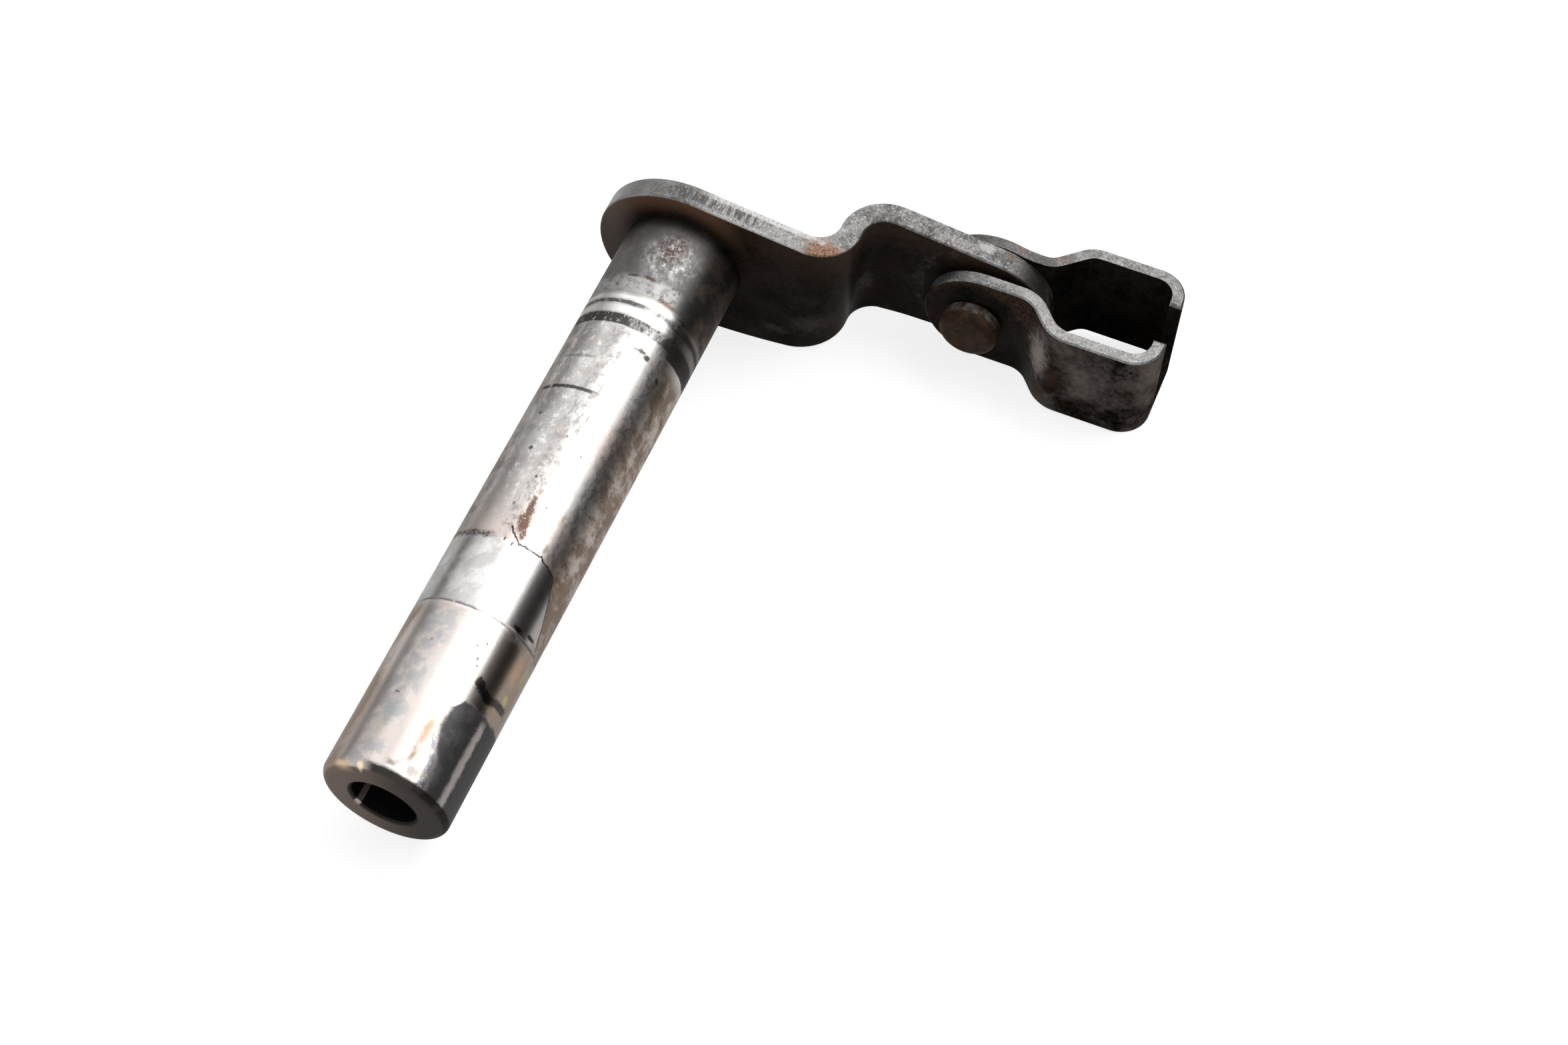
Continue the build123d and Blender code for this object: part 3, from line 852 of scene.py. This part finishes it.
def arm_skin_tone(graph, strip):
    """Oxide: brown under the upper edge, grey smudges low down, a paler ring round the pivot."""
    skin = graph.group(oxide_group, place=strip.place, rubbed=0.10, brown=0.8).outputs["Color"]
    hub_rim = graph.product(
        graph.rise(graph.distance(strip.across, strip.up), 6.2, 8.6),
        graph.rise(strip.up, 0.0, 4.0),
        graph.fall(strip.across, 3.0, 8.0),
    )
    under_edge = graph.plus(strip.up, graph.product(strip.across, 0.17))
    rim = graph.greatest(hub_rim, graph.product(graph.rise(under_edge, 4.5, 8.6), 0.22))
    uneven = graph.amount(strip.grain, 0.6, 1.0)
    skin = graph.paint(skin, ARM_RIM_BROWN, rim, uneven)
    skin = graph.paint(skin, ARM_HUB_GREY, graph.fall(strip.across, -7.5, -4.0), uneven, 0.8)
    for at, half in ARM_SMUDGES:
        skin = graph.paint(skin, ARM_SMUDGE, strip.face_blot(graph, at, half, 1.6, 0.9), 0.6)
    ring = graph.band(strip.pivot_distance(graph), 6.6, 0.3, 0.5)
    return graph.paint(skin, OXIDE_GREY, ring, graph.rise(strip.grain, 0.4, 0.7), 0.35)


def arm_edge_tone(graph, strip):
    """Bare edge: dull round end, torn middle, painted highlight over the middle and the bend and brightest
    along the edge's front and back, rust in the bend, duller far end.
    """
    torn = graph.product(graph.band(strip.back, 1.15, 0.40, 0.40), graph.band(strip.across, 3.4, 3.8, 2.2))
    # painted highlight: paler over the middle and the bend, brightest along the front and back of the edge
    rim_highlights = graph.greatest(
        graph.band(strip.back, 0.10, 0.08, 0.14), graph.band(strip.back, 1.95, 0.20, 0.20))
    light = graph.product(graph.band(strip.across, 8.8, 4.8, 3.5), graph.amount(rim_highlights, 0.30, 0.85))
    bare = graph.group(bare_edge_group, place=strip.place, light=light, torn=torn).outputs
    tone = graph.paint(bare["Color"], EDGE_DULL, graph.fall(strip.across, -5.0, 1.5), 0.55)
    tone = graph.paint(tone, EDGE_DARK, graph.rise(strip.across, 29.0, 33.0), 0.9)
    fine = graph.noise(strip.place, 0.22, 3.0, 0.7)
    rust = graph.blend(graph.rise(fine, 0.44, 0.60), RUST_ORANGE, RUST)
    in_bend = strip.edge_blot(graph, (14.7, 0.7), (3.1, 2.3), 1.6, 0.6)
    tone = graph.paint(tone, rust, in_bend, graph.amount(strip.grain, 0.70, 1.0))
    tone = graph.paint(tone, STAIN_BROWN, strip.edge_blot(graph, (30.3, 9.2), (0.7, 0.5), 1.8, 0.7), 0.7)
    tone = graph.paint(tone, EDGE_WORN, strip.edge_blot(graph, (28.0, 9.0), (1.2, 0.6), 1.4, 0.6), 0.6)
    return tone, bare["Height"]


def arm_material():
    material, graph, shader = new_material("oxidised arm steel")
    strip = StripFields(graph)
    hub_side = graph.product(graph.fall(strip.across, 4.0, 8.0), graph.fall(strip.backward, 0.4, 0.7))
    edge = graph.greatest(graph.rise(strip.upward, *EDGE_TILT), hub_side)
    edge_tone, edge_height = arm_edge_tone(graph, strip)
    tone = graph.blend(edge, arm_skin_tone(graph, strip), edge_tone)
    finish_strip(graph, shader, strip, edge, tone, edge_height, strip_roughness(graph, strip, edge))
    return material


def clevis_skin_tone(graph, strip):
    """Oxide: brown along the near ear's rim, rubbed grey on the outside from the offset on, painted
    highlights on the offset and at the fold, a faint pale patch.
    """
    outside = graph.fall(strip.back, 5.6, 6.0)
    rubbed = graph.amount(graph.product(outside, graph.rise(strip.across, 33.0, 37.0)), 0.12, 1.0)
    skin = graph.group(oxide_group, place=strip.place, rubbed=rubbed, brown=0.8).outputs["Color"]
    ear_rim = graph.product(
        graph.rise(strip.pivot_distance(graph), 4.4, 5.6),
        outside,
        graph.fall(strip.across, 34.0, 36.0),
        graph.rise(strip.up, -3.0, 0.0),
    )
    fine = graph.noise(strip.place, 0.3, 3.0, 0.7)
    skin = graph.paint(skin, EAR_BROWN, ear_rim, graph.rise(fine, 0.35, 0.6), 0.9)
    skin = graph.paint(skin, EAR_CHIP, ear_rim, graph.rise(strip.grain, 0.60, 0.68), 0.7)
    # painted highlights on the offset and at the fold, and a faint pale patch
    for at, half, strength in CLEVIS_SHEENS_AND_SMUDGE:
        smudge = strip.face_blot(graph, at, half, 1.2, 0.9)
        skin = graph.paint(skin, CLEVIS_SHEEN_AND_SMUDGE, smudge, outside, strength)
    brown = strip.face_blot(graph, (37.5, -3.6), (1.8, 2.2), 1.2, 0.9)
    skin = graph.paint(skin, CLEVIS_BROWN, brown, outside, 0.7)
    spot = strip.face_blot(graph, (44.9, 1.0), (0.22, 0.25), 0.6, 0.6)
    return graph.paint(skin, OXIDE, spot, outside)


def clevis_edge_tone(graph, strip):
    """Bare edge: brightest on the near wall, dull on the far ear, rusty in two places."""
    near_wall = graph.product(graph.fall(strip.back, 5.8, 6.6), graph.rise(strip.across, 31.0, 34.0))
    bright = strip.edge_blot(graph, (43.6, 1.4), (2.6, 0.8), 1.4, 0.8)
    light = graph.greatest(graph.product(bright, 0.75), graph.amount(near_wall, 0.16, 0.34))
    bare = graph.group(bare_edge_group, place=strip.place, light=light, torn=0.0).outputs
    far_ear = graph.product(graph.rise(strip.back, 9.5, 9.7), graph.fall(strip.across, 33.0, 37.0))
    tone = graph.paint(bare["Color"], FAR_EAR_EDGE, far_ear, 0.6)
    for at, half in CLEVIS_EDGE_RUST:
        rust = strip.edge_blot(graph, at, half, 1.8, 0.8)
        tone = graph.paint(tone, RUST_BROWN, rust, graph.rise(strip.grain, 0.4, 0.6), 0.8)
    return tone, bare["Height"]


def clevis_material():
    material, graph, shader = new_material("oxidised clevis steel")
    strip = StripFields(graph)
    slot_floor = graph.product(graph.rise(strip.across, 45.0, 45.5), graph.band(strip.up, -4.6, 3.4, 0.6))
    edge = graph.product(graph.rise(strip.upward, *EDGE_TILT), graph.invert(slot_floor))
    edge_tone, edge_height = clevis_edge_tone(graph, strip)
    tone = graph.blend(edge, clevis_skin_tone(graph, strip), edge_tone)
    end_wall = graph.product(graph.rise(strip.across, 46.4, 46.7), graph.invert(edge))
    rough = graph.amount(end_wall, strip_roughness(graph, strip, edge), 0.8)
    finish_strip(graph, shader, strip, edge, tone, edge_height, rough)
    return material


def rivet_material():
    material, graph, shader = new_material("tarnished rivet steel")
    where = graph.group(place_group).outputs
    grain = graph.noise(where["Place"], 0.8, 4.0, 0.6)
    backward, upward = surface_tilt(graph)
    # painted highlight on the upper side wall of the head
    wall = graph.product(
        graph.fall(backward, 0.25, 0.75),
        graph.rise(upward, 0.3, 0.8),
        graph.band(where["Back"], 4.3, 0.25, 0.55),
    )
    tone = graph.blend(graph.rise(grain, 0.4, 0.65), RIVET_BROWN, RIVET_DARK)
    tone = graph.paint(tone, RIVET_HIGHLIGHT, wall, graph.rise(grain, 0.35, 0.65))
    graph.join(shader["Base Color"], tone)
    graph.join(shader["Metallic"], graph.product(wall, 0.4))
    graph.join(shader["Roughness"], graph.amount(grain, 0.42, 0.62))
    shader["Specular IOR Level"].default_value = RIVET_SHINE
    graph.join(shader["Normal"], graph.bump(grain, STRIP_GRAIN_MM, 0.5))
    return material


def dress(node, material):
    """Puts a material in the node's slots."""
    for slot in frame["nodes"][node].material_slots:
        slot.material = material


dress("shaft", shaft_material())
dress("lever_arm", arm_material())
dress("clevis", clevis_material())
dress("clevis_pin", rivet_material())


def add_sheet(name, place, size, turn=(0.0, 0.0, 0.0)):
    """A flat rectangle whose place and turn are in its mesh."""
    bpy.ops.object.select_all(action="DESELECT")
    bpy.ops.mesh.primitive_plane_add(size=1.0, location=place, rotation=turn)
    sheet = bpy.context.object
    sheet.name = name
    sheet.scale = (size[0], size[1], 1.0)
    bpy.ops.object.transform_apply(location=True, rotation=True, scale=True)
    return sheet


def seen_share(graph):
    """1 for a ray that sees a thing or its mirror image, 0 for one that only gathers light."""
    path = graph.node("ShaderNodeLightPath").outputs
    return graph.greatest(path["Is Camera Ray"], path["Is Glossy Ray"], path["Is Transmission Ray"])


def lay_table(normal):
    """A pale plane that touches the part where it rests."""
    turn = Vector((0, 0, 1)).rotation_difference(normal).to_euler()
    table = add_sheet("table", normal * -TABLE_DROP, (TABLE_SIZE, TABLE_SIZE), turn)
    material, graph, shader = new_material("white table")
    shader["Base Color"].default_value = colour(0.42, 0.42, 0.42)
    shader["Roughness"].default_value = 0.9
    shader["Specular IOR Level"].default_value = 0.1
    shader["Emission Color"].default_value = colour(1.0, 1.0, 1.0)
    graph.join(shader["Emission Strength"], graph.product(seen_share(graph), TABLE_GLOW))
    table.data.materials.append(material)


def finish_card(card, material):
    """Makes a card that nothing but the metal's shine shows."""
    card.data.materials.append(material)
    card.visible_camera = False
    card.visible_diffuse = False
    card.visible_shadow = False
    card.visible_transmission = False


def set_cards(normal):
    """Dark cards around the part, as a photographer sets them for bright metal, and one on the table that
    the metal mirrors as a painted shadow.
    """
    material, _, shader = new_material("dark card")
    shader["Base Color"].default_value = colour(0.05, 0.05, 0.05)
    shader["Roughness"].default_value = 1.0
    shader["Specular IOR Level"].default_value = 0.0
    for name, place, size, turn_deg in UPRIGHT_CARDS:
        card = add_sheet(name, place, size, (radians(90), 0.0, radians(turn_deg)))
        finish_card(card, material)
    # painted shadow: a dark card on the table beside the shaft, seen only in the metal's shine
    card = add_sheet("shadow_card", (SHADOW_CARD_LEFT + SHADOW_CARD_SIZE[0] / 2, 0.0, 0.0), SHADOW_CARD_SIZE)
    for vertex in card.data.vertices:
        x, y, _ = vertex.co
        table_height = -(TABLE_DROP + normal.x * x + normal.y * y) / normal.z
        vertex.co.z = table_height + SHADOW_CARD_LIFT
    finish_card(card, material)


def light_world():
    """White surroundings, softer where they only light the part."""
    world = bpy.data.worlds.new("studio")
    bpy.context.scene.world = world
    world.use_nodes = True
    world.node_tree.nodes.clear()
    graph = Graph(world.node_tree)
    strength = graph.amount(seen_share(graph), WORLD_LIGHT, WORLD_SEEN)
    background = graph.node("ShaderNodeBackground", {"Color": colour(1.0, 1.0, 1.0), "Strength": strength})
    output = graph.node("ShaderNodeOutputWorld")
    graph.join(output.inputs["Surface"], background.outputs[0])


def add_lamp(name, place, aim, size, power):
    """A rectangular soft light that faces a point."""
    data = bpy.data.lights.new(name, "AREA")
    data.shape = "RECTANGLE"
    data.size, data.size_y = size
    data.energy = power
    lamp = bpy.data.objects.new(name, data)
    bpy.context.scene.collection.objects.link(lamp)
    lamp.location = place
    lamp.rotation_euler = (Vector(aim) - Vector(place)).to_track_quat("-Z", "Y").to_euler()


def set_camera():
    """The photograph's own view."""
    data = bpy.data.cameras.new("camera")
    data.sensor_fit = "HORIZONTAL"
    data.sensor_width = SENSOR_WIDTH_MM
    data.lens = CAMERA_LENS_MM
    data.clip_start = 0.01
    data.clip_end = 20.0
    camera = bpy.data.objects.new("camera", data)
    bpy.context.scene.collection.objects.link(camera)
    camera.location = CAMERA_PLACE
    camera.rotation_euler = Euler([radians(angle) for angle in CAMERA_TURN_DEG], "XYZ")
    bpy.context.scene.camera = camera


table_normal = Vector(TABLE_NORMAL).normalized()
lay_table(table_normal)
set_cards(table_normal)
light_world()
for lamp_name, lamp_place, lamp_aim, lamp_size, lamp_power in LAMPS:
    add_lamp(lamp_name, lamp_place, lamp_aim, lamp_size, lamp_power)
set_camera()
bpy.context.scene.view_settings.view_transform = "Standard"
